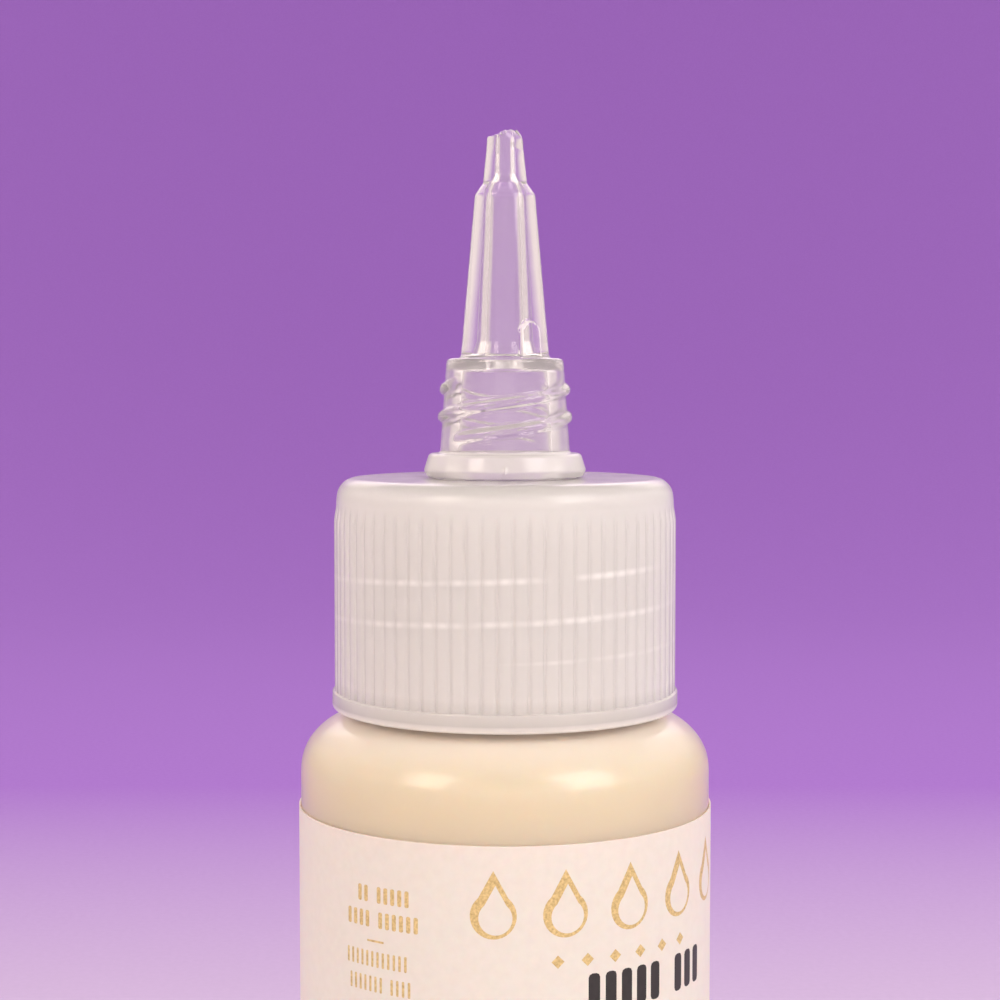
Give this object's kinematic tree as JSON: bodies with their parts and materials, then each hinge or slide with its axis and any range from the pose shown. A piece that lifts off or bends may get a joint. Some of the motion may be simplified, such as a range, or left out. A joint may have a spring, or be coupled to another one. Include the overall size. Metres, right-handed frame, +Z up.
{
  "type": "glue applicator bottle",
  "caption": "See-through squeeze bottle of cream glue with a wrapped label, a ribbed screw closure and a clear tapered nozzle snipped open at its tip, for laying fine lines of glue.",
  "frame": {"origin": "centre of the ring that the bottle stands on, on the bottle's axis", "axes": "+Z up along the bottle's axis towards the nozzle's tip, -Y out of the front of the label, +X to the right of that front"},
  "size_m": [0.0334, 0.0334, 0.1142],
  "materials": {
    "bottle": "satin, see-through, slightly hazy squeeze plastic",
    "glue": "wet cream-coloured liquid",
    "label": "satin film printed in gold and black",
    "closure": "satin, milky, light comes through",
    "nozzle": "glossy, nearly clear",
    "sealing_washer": "soft white foam"
  },
  "bodies": {
    "bottle_body": {"bottle": "bottle", "glue": "glue", "label": "label"},
    "nozzle_body": {"nozzle": "nozzle", "sealing_washer": "sealing_washer"},
    "closure_body": {"closure": "closure"}
  },
  "joints": [
    {"name": "nozzle_lift", "type": "slide", "parent": "bottle_body", "child": "nozzle_body", "axis": [0, 0, 1], "range_m": [0, 0.01588]},
    {"name": "closure_turn", "type": "hinge", "parent": "nozzle_body", "child": "closure_body", "pos_m": [0, 0, 0.07725], "axis": [0, 0, 1], "range_deg": [0, 1800]}
  ],
  "couplings": [
    {"joint": "nozzle_lift", "follows": "closure_turn", "m_per_rad": 0.00050532}
  ]
}
